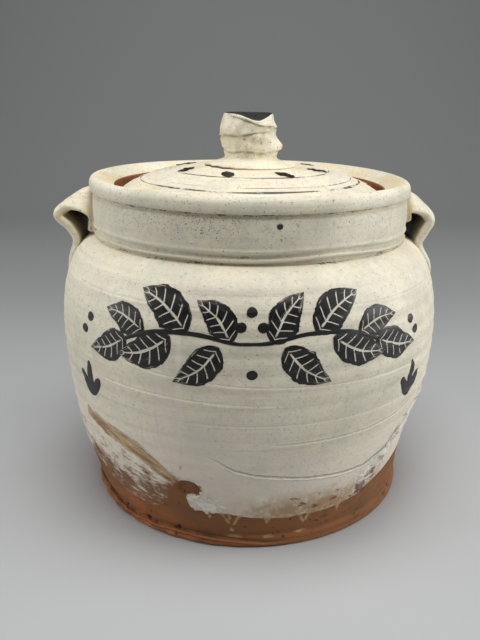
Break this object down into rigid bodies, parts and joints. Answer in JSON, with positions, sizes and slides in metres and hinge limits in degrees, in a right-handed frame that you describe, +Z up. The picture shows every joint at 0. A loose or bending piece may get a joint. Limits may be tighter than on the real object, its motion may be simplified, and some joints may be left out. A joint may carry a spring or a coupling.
{
  "type": "cookie jar",
  "caption": "Round-bellied thrown pottery jar with strap lugs, a gallery rim and a domed inset lid with a twisted knob, coated in pale slip over a bare red clay foot.",
  "frame": {"origin": "middle of the flat foot, on the surface that the jar stands on", "axes": "+Z up along the axis of the thrown pot; the lugs stand out along +X and -X; the front looks along -Y"},
  "size_m": [0.2324, 0.23, 0.2297],
  "materials": {
    "cream_slip": "satin",
    "black_slip": "satin"
  },
  "bodies": {
    "pot": {"jar_body": "cream_slip", "lug_left": "cream_slip", "lug_right": "cream_slip"},
    "cover": {"lid": "cream_slip", "lid_knob": "cream_slip"}
  },
  "joints": [
    {"name": "lid_lift", "type": "slide", "parent": "pot", "child": "cover", "axis": [0, 0, 1], "range_m": [0, 0.12]}
  ]
}
